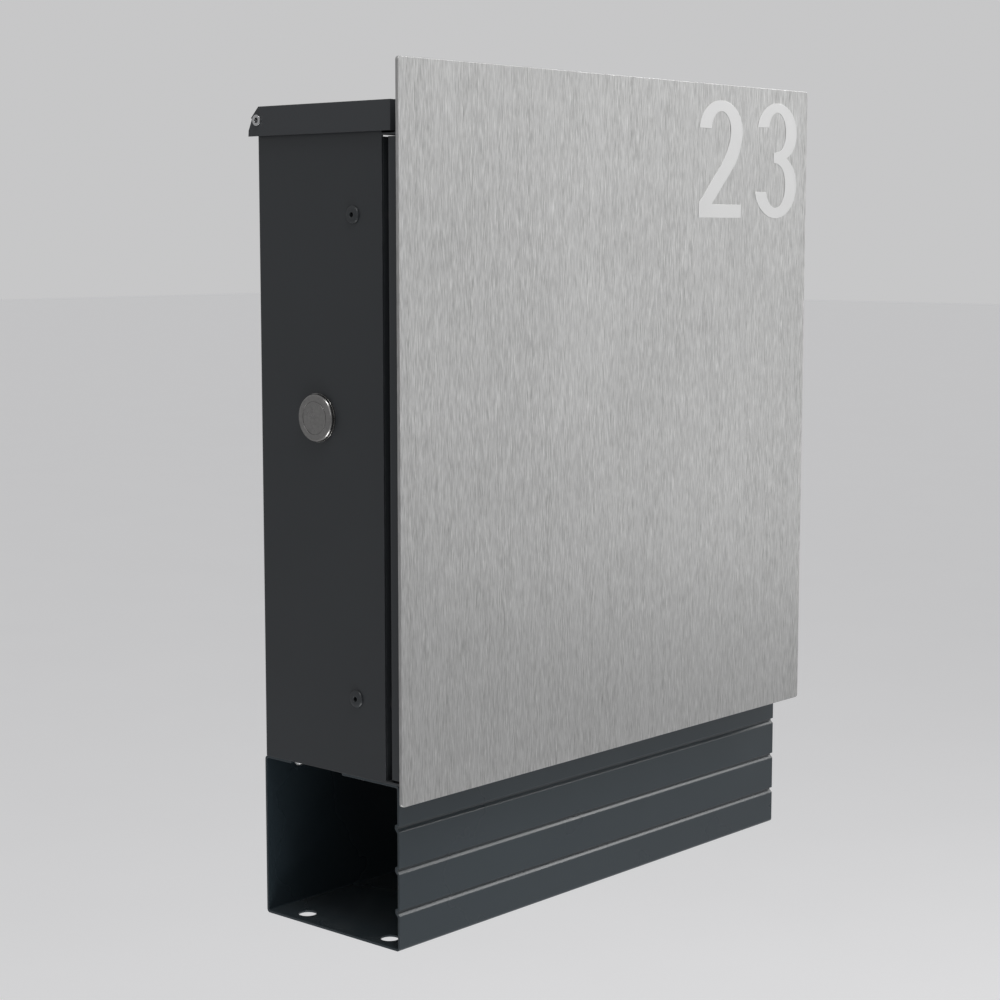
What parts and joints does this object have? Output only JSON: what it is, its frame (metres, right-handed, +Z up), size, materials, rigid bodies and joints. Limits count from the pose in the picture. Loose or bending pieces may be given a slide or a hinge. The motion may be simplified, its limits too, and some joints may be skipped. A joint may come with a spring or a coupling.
{
  "type": "wall mounted mailbox",
  "caption": "Flat-fronted wall mailbox with lift-up lid, side-locked front door, stainless front panel with a number, and an open newspaper tray.",
  "frame": {"origin": "centre of the four wall fixings, on the wall plane", "axes": "+Z up, the front faces -Y, +X to the right seen from the front"},
  "size_m": [0.37, 0.1225, 0.4726],
  "materials": {
    "dark_paint": "fine satin powder coat, anthracite",
    "brushed_panel": "vertical brushed grain",
    "lock_metal": "satin chrome with a polished rim",
    "lock_inner": "nickel plated",
    "zinc_steel": "bright zinc plate",
    "stainless_fasteners": "turned stainless",
    "rivet_metal": "plain aluminium",
    "nylon": "natural nylon",
    "black_rubber": "matt black",
    "number_film": "matt light grey"
  },
  "bodies": {
    "housing": {"housing": "dark_paint", "front_rail": "dark_paint", "rail_left": "dark_paint", "rail_right": "dark_paint", "side_rivets": "dark_paint", "wall_spacers": "black_rubber", "lid_rivets": "rivet_metal", "lid_washers": "nylon", "lid_buffers": "black_rubber", "door_washer": "nylon", "door_buffers": "black_rubber", "lock_body": "lock_metal", "lock_nut": "lock_inner", "newspaper_holder": "dark_paint", "holder_rivets": "rivet_metal"},
    "lid": {"lid": "dark_paint"},
    "door": {"door_pan": "dark_paint", "door_pins": "zinc_steel", "door_strike": "zinc_steel", "strike_pin": "zinc_steel", "strike_rivets": "zinc_steel", "front_panel": "brushed_panel", "panel_studs": "stainless_fasteners", "panel_nuts": "stainless_fasteners", "digit_two": "number_film", "digit_three": "number_film"},
    "lock_barrel": {"lock_plug": "lock_inner", "lock_cam": "zinc_steel", "cam_screw": "zinc_steel"},
    "weather_cap": {"lock_cap": "lock_metal"}
  },
  "joints": [
    {"name": "lid_hinge", "type": "hinge", "parent": "housing", "child": "lid", "pos_m": [0, -0.0084, 0.1733], "axis": [-1, 0, 0], "range_deg": [0, 80]},
    {"name": "door_hinge", "type": "hinge", "parent": "housing", "child": "door", "pos_m": [0.171, -0.108, 0], "axis": [0, 0, 1], "range_deg": [0, 100]},
    {"name": "lock_turn", "type": "hinge", "parent": "housing", "child": "lock_barrel", "pos_m": [-0.17, -0.0513, 0.01365], "axis": [1, 0, 0], "range_deg": [0, 90]},
    {"name": "cap_swing", "type": "hinge", "parent": "housing", "child": "weather_cap", "pos_m": [-0.177, -0.0513, 0.02142], "axis": [1, 0, 0], "range_deg": [-120, 120]}
  ]
}
